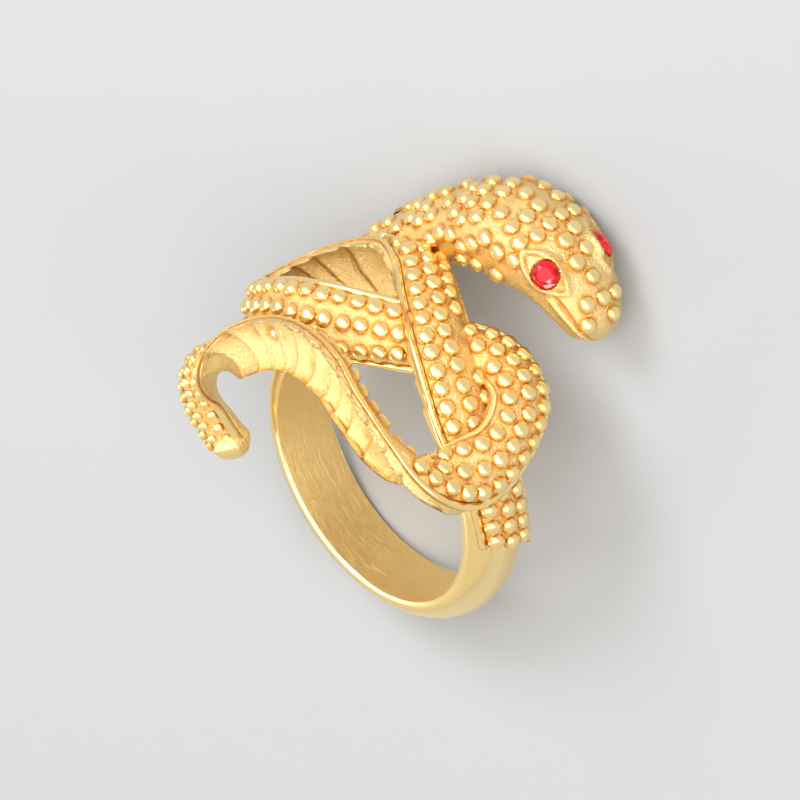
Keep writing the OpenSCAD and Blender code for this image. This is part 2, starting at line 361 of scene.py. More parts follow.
def bead(skin, place, out, along, radius, height, worn):
    """A stud: a dome whose foot sinks into the metal. Wear makes it blocky and dull."""
    across = np.cross(out, along)
    turn = np.linspace(0, 2 * math.pi, BEAD_SIDES, endpoint=False)
    ring = np.outer(np.cos(turn), along) + np.outer(np.sin(turn), across)
    ring *= (1 - WORN_SQUARE * worn * np.cos(4 * turn))[:, None]
    points, shade = [], []
    for reach, lift, painted_shade in BEAD:
        points.append(place + ring * radius * reach + out * height * lift)
        # Painted shade at the stud's foot, less on worn studs
        shade += [painted_shade * (1 - WORN_FOOT_SHADE * worn)] * BEAD_SIDES
    points = np.concatenate(points + [[place + out * height]])
    rings = len(BEAD)
    top = (rings - 1) * BEAD_SIDES
    faces = tube_faces(rings, BEAD_SIDES)
    faces += [(top + j, top + (j + 1) % BEAD_SIDES, rings * BEAD_SIDES)
              for j in range(BEAD_SIDES)]
    skin.add(points, faces, BEAD_POLISH - WORN_GLOSS * worn, shade + [0], place)


def surface(course, profile, far, turn):
    """Points of the back, far along the course and turn degrees round from its right edge."""
    far, turn = np.broadcast_arrays(np.atleast_1d(far), turn)
    place, across, out, rows = course.at(far)
    x, y = profile(course.sizes, rows, np.radians(turn))
    return place + across * x[:, None] + out * y[:, None]


def seat(course, profile, far, turn):
    """Point of the back with its direction outwards and its direction along."""
    step, swing = 0.05, 3
    far = min(max(far, 0), course.length - step)
    here, ahead, beside = surface(course, profile, [far, far + step, far],
                                  [turn, turn, turn + swing])
    along = unit(ahead - here)
    out = unit(np.cross(along, beside - here))
    inner = course.at(np.array([far]))[0][0]
    if out @ (here - inner) < 0:
        out = -out
    return here, out, unit(along - (along @ out) * out)


class Studs:
    """Places for studs that keep clear of each other."""

    def __init__(self, course, profile, sizes, apart, worn, edge_at):
        """Apart is the least distance, worn the wear and edge_at the first turn, far along."""
        self.course, self.profile = course, profile
        self.width, self.height = sizes.stud_d, sizes.stud_h
        self.least = sizes.stud_pitch * apart
        self.worn, self.edge_at = worn, edge_at
        self.seats = []

    def column(self, start, end, share, pitch, rng, scale):
        """One line of studs, evenly spaced along their own path. Share is -1 to 1 across."""
        wear = self.worn(start)
        far = np.arange(start, end, 0.05)
        spread = np.sign(share) * abs(share) ** (1 - WORN_SPREAD * wear)
        turns = 90 - spread * (90 - self.edge_at(far))
        path = surface(self.course, self.profile, far, turns)
        run = np.concatenate([[0], np.cumsum(np.linalg.norm(np.diff(path, axis=0), axis=1))])
        count = int(run[-1] / (pitch * (1 - WORN_PITCH * wear)))
        for k in range(count + 1):
            at = np.interp(k * run[-1] / max(count, 1), run, far)
            turn = float(np.interp(at, far, turns)) + rng.uniform(-STRAY_TURN, STRAY_TURN)
            self.place(at + rng.uniform(-STRAY_ALONG, STRAY_ALONG), turn, scale, rng)

    def place(self, far, turn, scale, rng, apart=1.0):
        """Puts a stud here unless it would be too near another one."""
        point, out, along = seat(self.course, self.profile, far, turn)
        worn = self.worn(far)
        least = self.least * scale * apart * (1 - WORN_PITCH * worn)
        if all(np.linalg.norm(point - other[0]) > least for other in self.seats):
            scale *= rng.uniform(LEAST_SCALE, MOST_SCALE)
            self.seats.append((point, out, along, scale, worn))

    def fill(self, start, end, scale_at, rng, apart, clear=None):
        """Studs wherever the lines have left enough bare metal."""
        for far in np.arange(start, end, TRY_ALONG):
            edge = float(self.edge_at(far))
            for turn in np.arange(edge, 180.1 - edge, TRY_TURN):
                if clear is None or clear(seat(self.course, self.profile, far, turn)[0]):
                    self.place(far, turn, scale_at(far), rng, apart)

    def radius(self, scale, worn):
        return self.width / 2 * scale * (1 - WORN_WIDTH * worn)

    def build(self, skin):
        for point, out, along, scale, worn in self.seats:
            bead(skin, point, out, along, self.radius(scale, worn),
                 self.height * scale * (1 - WORN_HEIGHT * worn), worn)

    def shaded(self, points, shade):
        """Shade of the metal's points, darker round the foot of each stud."""
        tree = KDTree(len(self.seats))
        for i, (point, *_) in enumerate(self.seats):
            tree.insert(point, i)
        tree.balance()
        found = [tree.find(p) for p in points.reshape(-1, 3)]
        away = np.array([far - self.radius(*self.seats[i][3:]) for _, i, far in found])
        light = np.array([1 - WORN_SHADE * self.seats[i][4] for _, i, far in found])
        ring = light * np.exp(-(np.maximum(away, 0) / SHADE_REACH) ** 2)
        return np.maximum(shade, FOOT_SHADE * ring.reshape(shade.shape))


# Shader maths

class Value:
    """Wraps a socket, so that shader maths reads as an expression."""

    def __init__(self, graph, socket):
        self.graph, self.socket = graph, socket

    def math(self, operation, *others):
        return self.graph.node("ShaderNodeMath", {"operation": operation}, self, *others)

    def __add__(self, other):
        return self.math("ADD", other)

    def __sub__(self, other):
        return self.math("SUBTRACT", other)

    def __rsub__(self, other):
        return self.graph.node("ShaderNodeMath", {"operation": "SUBTRACT"}, other, self)

    def __mul__(self, other):
        return self.math("MULTIPLY", other)

    __radd__, __rmul__ = __add__, __mul__

    def clamped(self):
        return self.graph.node("ShaderNodeClamp", {}, self)


class Graph:
    """Nodes of one material."""

    def __init__(self, name):
        self.material = bpy.data.materials.new(name)
        self.material.use_nodes = True
        self.tree = self.material.node_tree
        self.tree.nodes.clear()

    def node(self, kind, settings, *values, out=0, **named):
        """Adds a node: its settings first, then its sockets by order or by name."""
        node = self.tree.nodes.new(kind)
        for key, value in settings.items():
            setattr(node, key, value)
        sockets = list(enumerate(values))
        sockets += [(key.replace("_", " "), value) for key, value in named.items()]
        self.fill(node, sockets)
        return Value(self, node.outputs[out]) if node.outputs else None

    def fill(self, node, sockets):
        for key, value in sockets:
            if isinstance(value, Value):
                self.tree.links.new(value.socket, node.inputs[key])
            else:
                node.inputs[key].default_value = value

    def mask(self, name):
        return self.node("ShaderNodeAttribute", {"attribute_name": name}, out="Fac")

    def vector(self, name):
        return self.node("ShaderNodeAttribute", {"attribute_name": name}, out="Vector")

    def noise(self, vector, scale, detail, roughness=0.5):
        return self.node("ShaderNodeTexNoise", {}, Vector=vector, Scale=scale, Detail=detail,
                         Roughness=roughness)

    def mix(self, factor, a, b):
        """Mix of two colours, whose sockets share their names with those of other kinds."""
        node = self.tree.nodes.new("ShaderNodeMix")
        node.data_type = "RGBA"
        self.fill(node, ((0, factor), (6, a), (7, b)))
        return Value(self, node.outputs[2])

    def bump(self, height, distance):
        return self.node("ShaderNodeBump", {}, Height=height, Distance=distance, Strength=1.0)

    def surface(self, **sockets):
        shader = self.node("ShaderNodeBsdfPrincipled", {}, **sockets)
        self.node("ShaderNodeOutputMaterial", {}, shader)
        return self.material


def rgba(values):
    return (*values, 1.0)


GLOSS = 0.15  # Roughness of polished gold
CAST_RELIEF, BRUSH_RELIEF = 0.00025, 0.00004  # Height of the fine relief, in metres
BRUSH_STRETCH = (0.35, 16, 16)  # Fineness of the brushed lines along and across them
# Painted shade of the dark facets, and painted glint of the bright ones
STONE_SHADED_FACET = (0.3, 0.0, 0.008)
STONE_GLINT = (1.0, 0.3, 0.34)
GLINT_FACETS = 0.13  # Share of the facets with a painted glint
FLOOR_SPECK = (0.3, 0.3, 0.3)


def cast_gold(colours):
    """Polished studs and rims over a lightly pitted gold, darkened between them by painted shade.
    """
    g = Graph("cast gold")
    polish, shade, grain = g.mask("polish"), g.mask("shade"), g.vector("grain")
    pits = g.noise(grain, scale=4.5, detail=4, roughness=0.65)
    cloud = g.noise(grain, scale=0.8, detail=2)
    matt = 1 - polish
    grit = g.noise(grain, scale=9, detail=2, roughness=0.6)
    # Painted shade from the shade mask, with the random tone of pits and clouds, mixes in the
    # darker gold
    painted_shade_weight, pit_dark, cloud_dark = 0.85, 1.6, 0.3
    shade_and_tone = (shade * painted_shade_weight + matt * (pits - 0.45) * pit_dark
              + (cloud - 0.5) * cloud_dark).clamped()
    base = g.mix(shade_and_tone, rgba(colours.polished), rgba(colours.shaded))
    pit_rough, matt_rough, cloud_rough = 0.25, 0.12, 0.06
    rough = matt * (pits * pit_rough + matt_rough) + cloud * cloud_rough + GLOSS
    relief = (pits + grit * 0.4) * matt + cloud * 0.4
    return g.surface(Base_Color=base, Metallic=1.0, Roughness=rough,
                     Normal=g.bump(relief, CAST_RELIEF))


def brushed_gold(colours):
    """Polished gold, with fine satin lines along its grain inside the band."""
    g = Graph("brushed gold")
    polish, grain = g.mask("polish"), g.vector("grain")
    stretched = g.node("ShaderNodeVectorMath", {"operation": "MULTIPLY"}, grain, BRUSH_STRETCH)
    lines = g.noise(stretched, scale=1.0, detail=3, roughness=0.6)
    cloud = g.noise(grain, scale=0.3, detail=2)
    satin = 1 - polish
    line_dark, cloud_dark, polished_dark = 0.5, 0.4, 0.2
    tone = (satin * (lines * line_dark + cloud * cloud_dark)
            + (cloud - 0.5) * polished_dark).clamped()
    base = g.mix(tone, rgba(colours.polished), rgba(colours.satin))
    line_rough, satin_rough, cloud_rough = 0.14, 0.12, 0.08
    rough = satin * (lines * line_rough + satin_rough) + cloud * cloud_rough + GLOSS
    relief = lines * (satin * 0.9 + 0.1)
    return g.surface(Base_Color=base, Metallic=1.0, Roughness=rough,
                     Normal=g.bump(relief, BRUSH_RELIEF))


def red_stone(colours):
    """Deep red stone with painted light and shade on its facets, as light comes back through
    them, and a faint painted glow.
    """
    g = Graph("red stone")
    facet = g.mask("shade")
    base = g.mix(facet, rgba(colours.stone), rgba(STONE_SHADED_FACET))
    # Painted glint on the facets with the least painted shade
    glint = (GLINT_FACETS - facet) * 9
    base = g.mix(glint.clamped(), base, rgba(STONE_GLINT))
    # A faint painted glow from the stone's own colour
    return g.surface(
        Base_Color=base, Metallic=0.0, Roughness=0.05, IOR=1.5, Specular_IOR_Level=0.35,
        Emission_Color=base, Emission_Strength=0.15)


def floor_paper(colours):
    g = Graph("floor paper")
    speck = g.noise(g.node("ShaderNodeTexCoord", {}, out="Object"), scale=300, detail=2)
    base = g.mix(speck * 0.03, rgba(colours.floor), rgba(FLOOR_SPECK))
    return g.surface(Base_Color=base, Roughness=0.85)


# Operators

class Maker:
    """What every operator of this ring shares."""

    bl_options = {"REGISTER", "UNDO"}

    @property
    def sizes(self):
        return bpy.context.scene.snake_sizes

    @property
    def colours(self):
        return bpy.context.scene.snake_colours


BAND_CORNER_R = 0.12  # Rounding of the band's inner edges
BAND_CORNER_TURNS = (20, 45, 70)
BAND_EDGE_INSET = 0.02
BAND_INSIDE_POINTS, BAND_DOME_POINTS, BAND_SECTIONS = 13, 25, 241


class SNAKE_OT_band(Maker, bpy.types.Operator):
    """Domed band with brushed inside"""

    bl_idname = "snake.band"
    bl_label = "Band"

    def execute(self, context):
        sizes = self.sizes
        profile = self.profile(sizes)
        around = len(profile)
        polish = [0.0] * BAND_INSIDE_POINTS + [1.0] * (around - BAND_INSIDE_POINTS)
        finger_r = sizes.finger_d / 2
        points, grain = [], []
        for t in np.linspace(sizes.band_left, 2 * math.pi + sizes.band_right, BAND_SECTIONS):
            points.append(np.stack([profile[:, 0] * math.cos(t),
                                    profile[:, 1] + sizes.band_w / 2,
                                    profile[:, 0] * math.sin(t)], axis=1))
            grain.append(np.stack([np.full(around, t * finger_r), profile[:, 1],
                                   profile[:, 0]], axis=1))
        faces = tube_faces(BAND_SECTIONS, around)
        faces += [tuple(range(around)), tuple(reversed(range((BAND_SECTIONS - 1) * around,
                                                             BAND_SECTIONS * around)))]
        skin = Skin()
        skin.add(np.concatenate(points), faces, polish * BAND_SECTIONS, 0,
                 np.concatenate(grain))
        band = skin.finish("band", sizes, brushed_gold(self.colours))
        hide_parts("cast_ring")
        return {"FINISHED"}

    def profile(self, sizes):
        """Radius and place along the finger of the band's section, from its inside round."""
        finger_r, half, soft = sizes.finger_d / 2, sizes.band_w / 2, BAND_CORNER_R
        rise = sizes.band_t - sizes.band_edge_t
        dome_r = (sizes.band_w ** 2 / 4 + rise ** 2) / (2 * rise)
        inside = [(finger_r, y)
                  for y in np.linspace(-half + soft, half - soft, BAND_INSIDE_POINTS)]
        corner = [(finger_r + soft * (1 - math.cos(t)), half - soft + soft * math.sin(t))
                  for t in map(math.radians, BAND_CORNER_TURNS)]
        reach = math.asin((half - BAND_EDGE_INSET) / dome_r)
        dome = [(finger_r + sizes.band_t - dome_r + dome_r * math.cos(t), dome_r * math.sin(t))
                for t in np.linspace(reach, -reach, BAND_DOME_POINTS)]
        return np.array(inside + corner + dome + [(r, -y) for r, y in reversed(corner)])


BODY_STEP = 0.16  # Distance between sections along the body
PATCH_SLANT, PATCH_LEAD = 0.45, 1.6  # Slant and lead of the patch on the right shoulder
TAIL_END = (0.9, 0.3)  # How far the tail's tip is rounded, and how much further it reaches
# Section of a rim from its foot outside to its foot inside: how far in, in mm and as a share
# of the rim's width, then its height, polish, painted shade in the grooves beside it and the
# rise of the twin ridge
RIM = ((0, 0.16, -0.4, 0.2, 1, 0), (0.03, 0, -0.33, 0.9, 0.4, 0), (0, 0, -0.2, 1, 0, 0),
       (0.03, 0, -0.06, 1, 0, 0.032), (0.14, 0, 0.04, 1, 0, 0.16),
       (0, 0.32, 0.08, 1, 0, 0.128), (0, 0.5, 0.08, 1, 0, -0.16), (0, 0.68, 0.07, 1, 0, 0.16),
       (0, 0.86, 0.03, 1, 0, 0.224), (0, 1, -0.06, 0.8, 0.5, 0.16), (0, 1.1, -0.1, 0.3, 1, 0))
RIM_SPREAD = 1.25  # Width of a rounded rim as a share of the rim's width
TWIN_ROWS = ((0.3, 5.2), (14, 20.2))  # Where the right rim is worn down to a twin ridge
# How much wider and less polished the twin ridge is, and the painted shade in the groove between
# its ridges
TWIN_SPREAD, TWIN_MATT, TWIN_GROOVE_SHADE = 0.2, 0.5, 0.7
NARROW_FROM, NARROW_OVER = 0.95, 0.3  # Share of the width below which the rims thicken
THICK_OUT, THICK_UP = 0.14, 0.4
WALL_TOP, WALL_INSET = 0.42, 0.06
WALL_LEVELS = (1, 0.8, 0.5, 0.2)  # Heights down a rim's outer wall, as shares
WALL_BITE, FOLD_BITE = 0.05, 0.2
BACK_INSET, BACK_DROP, BACK_POWER = 0.08, 0.05, 0.8
BELLY_SPREAD, BELLY_POINTS, BACK_POINTS = 0.93, 21, 33
BELLY_LIFT, FOLD_H = 1.15, 0.55
LEAST_FOLD = 0.15
# Painted shade in the creases behind the belly's folds
CREASE_SHADE = 0.7
FOLD_TOP = 0.82  # Share of a fold at which its edge stands highest
TIP_REACH, TIP_BLEND = 2.1, 0.9  # Where the tail turns smooth, and over what length
# Polish of the smooth tip, and the share of the painted shade that it loses
TIP_POLISH, TIP_LIGHT = 0.8, 0.9
STUD_START, STUD_END = 0.6, 1.7  # Bare metal at both ends of the body
TAIL_REACH, TAIL_OVER = 14, 4  # Length of the worn tail, and over what length it starts
TAIL_EDGE, TAIL_LINES = 14, 5


def body_back(sizes, rows, turn):
    """Profile of the body's studded back."""
    inner = rows[:, 4] * sizes.body_w / 2 - sizes.rim_w - BACK_INSET
    rise = rows[:, 5] * sizes.back_h
    return (inner * np.cos(turn),
            rise * np.maximum(np.sin(turn), 0) ** BACK_POWER - BACK_DROP)


def folds(far, aside, pitch):
    """Rise over the belly's folds, from 0 to 1 at a sharp edge, and the crease behind it, where
    painted shade goes.
    """
    rng = np.random.RandomState(3)
    edges = np.cumsum(pitch * rng.uniform(0.7, 1.35, 90)) - 2 * pitch
    place = far + 0.3 * aside + 0.22 * np.sin(aside * 1.4 + far * 0.6)
    k = np.clip(np.searchsorted(edges, place), 1, len(edges) - 1)
    share = (place - edges[k - 1]) / (edges[k] - edges[k - 1])
    rise = np.where(share < FOLD_TOP, (share / FOLD_TOP) ** 2, (1 - share) / (1 - FOLD_TOP))
    return rise, np.exp(-((share - 0.93) / 0.07) ** 2) + np.exp(-((share + 0.07) / 0.12) ** 2)


class SNAKE_OT_body(Maker, bpy.types.Operator):
    """Studded body with polished rims and a fluted, hollow belly"""

    bl_idname = "snake.body"
    bl_label = "Body"

    def execute(self, context):
        sizes = self.sizes
        course = Course(BODY, sizes, BODY_STEP, PATCH_SLANT, PATCH_LEAD)
        x, y, polish, shade = self.smooth_tip(course, *self.section(course, sizes))
        x, y, ahead = rounded_end(course, x, y, *TAIL_END)
        points = strand_points(course, x, y, ahead, sizes)
        grain = np.stack([x, np.broadcast_to(course.far[:, None], x.shape), y], axis=-1)
        studs = self.studs(course, sizes)
        shade = studs.shaded(points, shade)
        skin = Skin()
        skin.add(points.reshape(-1, 3), shut_tube_faces(*x.shape), polish.ravel(),
                 shade.ravel(), grain.reshape(-1, 3))
        studs.build(skin)
        body = skin.finish("snake_body", sizes, cast_gold(self.colours))
        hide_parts("cast_ring")
        return {"FINISHED"}

    def section(self, course, sizes):
        """Profile of the body at each section, round from the belly."""
        rows, far, s = course.rows, course.far, course.s
        section = Section(len(rows))
        half = rows[:, 4] * sizes.body_w / 2
        edge = sizes.rim_h * np.minimum(1, rows[:, 4])
        hollow = sizes.belly_h * rows[:, 6]
        ridged = np.clip(rows[:, 6], LEAST_FOLD, 1)
        twin_rim = sum(np.clip(np.minimum(s - a, b - s), 0, 1) for a, b in TWIN_ROWS)
        thick = np.clip((NARROW_FROM - rows[:, 4]) / NARROW_OVER, 0, 1)
        start = np.clip((far - 0.4) / 0.4, 0, 1)

        def wall(side, low):
            drop = low * (edge - WALL_TOP)
            crest, crease = folds(far, side * half, sizes.flute_pitch)
            bite = (WALL_BITE + FOLD_BITE * (1 - crest) * low) * ridged
            section.put(side * (half - WALL_INSET - bite), -WALL_TOP - drop, 0.5,
                        CREASE_SHADE * crease * low * ridged)

        def rim(side, shape):
            worn = twin_rim if side > 0 else 0 * twin_rim
            width = RIM_SPREAD * sizes.rim_w * (1 + TWIN_SPREAD * worn)
            for inset, share, height, polish, painted_shade, twin in shape:
                bulge = THICK_OUT * thick * (polish > 0.3)
                section.put(side * (half - inset - share * width + bulge),
                            height * (1 + THICK_UP * thick) + twin * worn,
                            polish * (1 - TWIN_MATT * worn),
                            painted_shade + (twin < 0) * TWIN_GROOVE_SHADE * worn)

        for t in np.linspace(-BELLY_SPREAD, BELLY_SPREAD, BELLY_POINTS):
            bowl = 1 - abs(t) ** 3
            crest, crease = folds(far, t * half, sizes.flute_pitch)
            lift = (hollow * BELLY_LIFT * bowl
                    + FOLD_H * (1 - crest) * ridged * (0.5 + 0.5 * bowl))
            # Painted shade in the creases between the folds
            section.put(t * half, lift - edge, 0.5, CREASE_SHADE * crease * ridged)
        for low in WALL_LEVELS:
            wall(1, low)
        rim(1, RIM)
        for t in np.linspace(3, 177, BACK_POINTS):
            x, y = body_back(sizes, rows, np.full(len(rows), math.radians(t)))
            section.put(x, y * start, 1 - 0.5 * start, SKIN_SHADE)
        rim(-1, RIM[::-1])
        for low in reversed(WALL_LEVELS):
            wall(-1, low)
        return section.gathered()

    def smooth_tip(self, course, x, y, polish, shade):
        """Turns the last sections into plain ovals, polished, without creases and with little
        painted shade.
        """
        blend = np.clip((course.far - (course.length - TIP_REACH)) / TIP_BLEND, 0, 1)[:, None]
        blend = blend * blend * (3 - 2 * blend)
        high, low = y.max(1, keepdims=True), y.min(1, keepdims=True)
        tall, middle, wide = (high - low) / 2, (high + low) / 2, np.abs(x).max(1, keepdims=True)
        turn = np.arctan2((y - middle) / tall, x / wide)
        return (x + blend * (wide * np.cos(turn) - x),
                y + blend * (middle + tall * np.sin(turn) - y),
                polish + blend * (TIP_POLISH - polish), shade * (1 - TIP_LIGHT * blend))

    def studs(self, course, sizes):
        """Lines of studs, as many as fit round the back, and worn ones along the tail."""
        rng = np.random.RandomState(11)
        share = course.rows[:, 4]
        inner = share * sizes.body_w / 2 - sizes.rim_w
        small = np.clip(0.4 + 0.75 * share, 0.68, 1)
        tail = np.clip((course.far - course.length + TAIL_REACH) / TAIL_OVER, 0, 1)
        edge = np.degrees(np.arccos(np.clip(1 - 0.4 * sizes.stud_d * small / inner, 0.3, 1)))
        edge = edge + tail * (TAIL_EDGE - edge)
        arc = np.pi * np.sqrt((inner ** 2 + (course.rows[:, 5] * sizes.back_h) ** 2) / 2)
        arc *= 1 - edge / 90
        studs = Studs(course, body_back, sizes, 0.86,
                      lambda far: float(np.interp(far, course.far, tail)),
                      lambda far: np.interp(far, course.far, edge))
        lines = np.clip(np.round(arc / small / sizes.stud_pitch) + 1, 2, 4).astype(int)
        lines = np.where(tail > 0.5, TAIL_LINES, lines)
        breaks = [0, *(np.flatnonzero(np.diff(lines)) + 1), len(lines) - 1]
        for a, b in zip(breaks, breaks[1:]):
            start = max(course.far[a], STUD_START)
            end = min(course.far[b], course.length - STUD_END)
            if end - start < 0.5:
                continue
            scale = float(small[a:b].mean())
            for across in sorted(np.linspace(-1, 1, lines[a]), key=abs):
                studs.column(start, end, across, sizes.stud_pitch * scale, rng, scale)
        studs.fill(STUD_START, course.length - STUD_END,
                   lambda far: float(np.interp(far, course.far, small)), rng, 1.07)
        return studs


HEAD_STEP = 0.11  # Distance between sections along the neck and head
SNOUT_END = (1.0, 0.5)  # As TAIL_END
SKULL_POINTS, JAW_POINTS = 85, 61
SKULL_POLISH, JAW_POLISH = 0.5, 0.6
FACE_ROW, FACE_OVER = 5.75, 0.4  # Row at which the mouth starts, and over how many rows
MOUTH_TURN, MOUTH_WIDTH, MOUTH_IN, MOUTH_UP = 25, 4.5, 0.08, 0.1
LIP_TURN, LIP_WIDTH, LIP_OUT = 13, 7, 0.05
# Rows of the head, and the first turn at which studs stand there
STUD_EDGES = ((4.6, 4.9, 5.3, 5.9), (-16, 4, 10, 38))
EYE_ROW, EYE_RISE = 5.488, 0.71  # Row of the eyes, and their height as a share of skull_h
EYE_TILT, EYE_LEAN = math.radians(44), math.radians(-11.6)
LID_LONG, LID_TALL, LID_SHIFT = 2.1, 1.1, 0.15  # Half the almond's length and height
LID_H, DISH_H = 0.24, 0.22
SOCKET_DEPTH, SOCKET_GAP = 0.8, 0.06
# How far studs keep from the right and left eye across its long axis, and along that axis
CLEAR_RIGHT, CLEAR_LEFT, CLEAR_ALONG = 2.0, 1.55, 2.6
BELOW_EYE = (0.3, -2.2, 3.2)  # Bare cheek: how far below the eye, and from where to where


def skull_back(sizes, rows, turn):
    """Profile of the skull over the lips, and of the jaw below them."""
    half = rows[:, 4] * sizes.head_w / 2
    rise = rows[:, 5] * sizes.skull_h
    jaw = rows[:, 6] * (sizes.jaw_h + sizes.lip_h)
    c, s = np.cos(turn), np.sin(turn)
    x = np.where(s >= 0, half * c, half * np.sign(c) * np.abs(c) ** 0.8)
    return x, np.where(s >= 0, rise * np.abs(s) ** 0.65, -jaw * np.abs(s) ** 0.7)


class Eye:
    """Place of an eye with its directions forward, aside and outwards. Side is 1 or -1."""

    def __init__(self, sizes, side):
        course = Course(NECK, sizes, 1)
        far = np.interp(EYE_ROW, course.fine, course.run)
        place, across, up, _ = (v[0] for v in course.at(np.array([far])))
        self.side = side
        self.out = unit(across * side * math.cos(EYE_TILT) + up * math.sin(EYE_TILT))
        self.fore = unit(np.cross(across * side, up))
        self.aside = np.cross(self.out, self.fore)
        self.middle = (place + across * side * sizes.eye_span / 2
                       + up * sizes.skull_h * EYE_RISE)

    def local(self, points):
        """Where points are along the almond's long axis, across it and out of the eye."""
        points = points - self.middle
        ahead, beside = -self.side * (points @ self.fore), points @ self.aside
        c, s = math.cos(EYE_LEAN), math.sin(EYE_LEAN)
        return ahead * c + beside * s, beside * c - ahead * s, points @ self.out

    def clear(self, point):
        """Whether a stud may stand here."""
        u, v, w = self.local(point)
        if abs(w) > 3:
            return True
        below, behind, before = BELOW_EYE
        if v > below and behind < u < before:
            return False
        across = CLEAR_RIGHT if self.side > 0 else CLEAR_LEFT
        return (v / across) ** 2 + (u / CLEAR_ALONG) ** 2 > 1

    def socket(self, points, polish, shade, sizes):
        """Lids in the shape of an almond, with a hole for the stone, with painted shade in the
        lids' crease and in the hole.
        """
        u, v, w = self.local(points)
        r = np.hypot(u, v)
        near = (np.abs(w) < 2.2) & (r < 3)
        almond = np.abs(v) / LID_TALL + ((u + LID_SHIFT) / LID_LONG) ** 2
        lids = LID_H * np.exp(-((almond - 1.12) / 0.21) ** 2)
        dish = -DISH_H * np.clip(1.6 * (1 - almond), 0, 1)
        level = np.clip((1.4 - r) / 0.35, 0, 1)
        hole_r = sizes.eye_d / 2 + SOCKET_GAP
        move = lids + dish * (1 - level) - w * level
        move = np.where(r < hole_r, -SOCKET_DEPTH - w, move)
        points = points + np.where(near, move, 0)[..., None] * self.out
        eyelid = near & (almond < 1.35)
        polish = np.where(eyelid, 0.6, polish)
        # Painted shade in the crease inside the lids, and full painted shade in the gap round the
        # stone
        crease = np.exp(-((almond - 0.8) / 0.12) ** 2)
        shade = np.where(eyelid, SKIN_SHADE + 0.75 * crease, shade)
        return points, polish, np.where(near & (r < hole_r + 0.08), 1, shade)


class SNAKE_OT_head(Maker, bpy.types.Operator):
    """Neck and head with studs, lips and almond-shaped eye sockets"""

    bl_idname = "snake.head"
    bl_label = "Head"

    def execute(self, context):
        sizes = self.sizes
        course = Course(NECK, sizes, HEAD_STEP)
        x, y, polish, shade = self.section(course, sizes)
        x, y, ahead = rounded_end(course, x, y, *SNOUT_END)
        points = strand_points(course, x, y, ahead, sizes)
        eyes = [Eye(sizes, side) for side in (1, -1)]
        studs = self.studs(course, sizes, eyes)
        shade = studs.shaded(points, shade)
        for eye in eyes:
            points, polish, shade = eye.socket(points, polish, shade, sizes)
        skin = Skin()
        points = points.reshape(-1, 3)
        skin.add(points, shut_tube_faces(*x.shape), polish.ravel(), shade.ravel(), points)
        studs.build(skin)
        head = skin.finish("snake_head", sizes, cast_gold(self.colours))
        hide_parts("cast_ring")
        return {"FINISHED"}

    def section(self, course, sizes):
        """Profile of the neck and head at each section, with a mouth between two lips."""
        section = Section(len(course.rows))
        face = np.clip((course.s - FACE_ROW) / FACE_OVER, 0, 1)
        for t in (*np.linspace(0, 180, SKULL_POINTS), *np.linspace(180, 360, JAW_POINTS)[1:-1]):
            x, y = skull_back(sizes, course.rows, np.full(section.count, math.radians(t)))
            edge, skull = min(t, 180 - t), t <= 180
            mouth = skull * face * math.exp(-((edge - MOUTH_TURN) / MOUTH_WIDTH) ** 2)
            lip = skull * face * math.exp(-((edge - LIP_TURN) / LIP_WIDTH) ** 2)
            # The mouth's groove is darkened with painted shade
            section.put(x * (1 - MOUTH_IN * mouth + LIP_OUT * lip), y * (1 - MOUTH_UP * mouth),
                        (SKULL_POLISH if skull else JAW_POLISH) + 0.3 * lip,
                        SKIN_SHADE + 0.85 * mouth)
        return section.gathered()

    def studs(self, course, sizes, eyes):
        """Staggered rows of studs over the neck and skull, clear of the eyes and the lips."""
        rng = np.random.RandomState(5)

        def clear(point):
            return all(eye.clear(point) for eye in eyes)

        studs = Studs(course, skull_back, sizes, 0.88, lambda far: 0,
                      lambda far: np.interp(course.row_place(far), *STUD_EDGES))
        far, stagger = 0.9, -0.25
        while far < course.length - 0.8:
            row = course.at(np.array([far]))[3][0]
            span = 180 - 2 * float(studs.edge_at(far))
            arc = math.radians(span) * (row[4] * sizes.head_w / 2) * 1.05
            n = max(2, int(round(arc / sizes.stud_pitch / 1.03)))
            for c in range(n):
                turn = 90 + (c + stagger - (n - 1) / 2) * span / n
                if clear(seat(course, skull_back, far, turn)[0]):
                    studs.place(far + rng.uniform(-0.14, 0.14), turn + rng.uniform(-4, 4),
                                rng.uniform(0.95, 1.06), rng)
            far += sizes.stud_pitch * 0.93
            stagger = -stagger
        studs.fill(0.9, course.length - 0.4, lambda far: 1, rng, 1.06, clear)
        return studs


# Rings of a stone's corners from its table down: height and radius as shares of the stone's
# radius, number of corners and degrees to the first one
STONE_RINGS = ((0.35, 0.55, 8, 22.5), (0.24, 0.79, 8, 0), (0.05, 0.995, 16, 11.25),
               (-0.05, 0.995, 16, 11.25), (-0.45, 0.5, 8, 0), (-0.78, 0.08, 8, 22.5))
FACET_MIX = (37.0, 91.0, 53.0)  # Scatters the painted light and shade of the facets by their directions


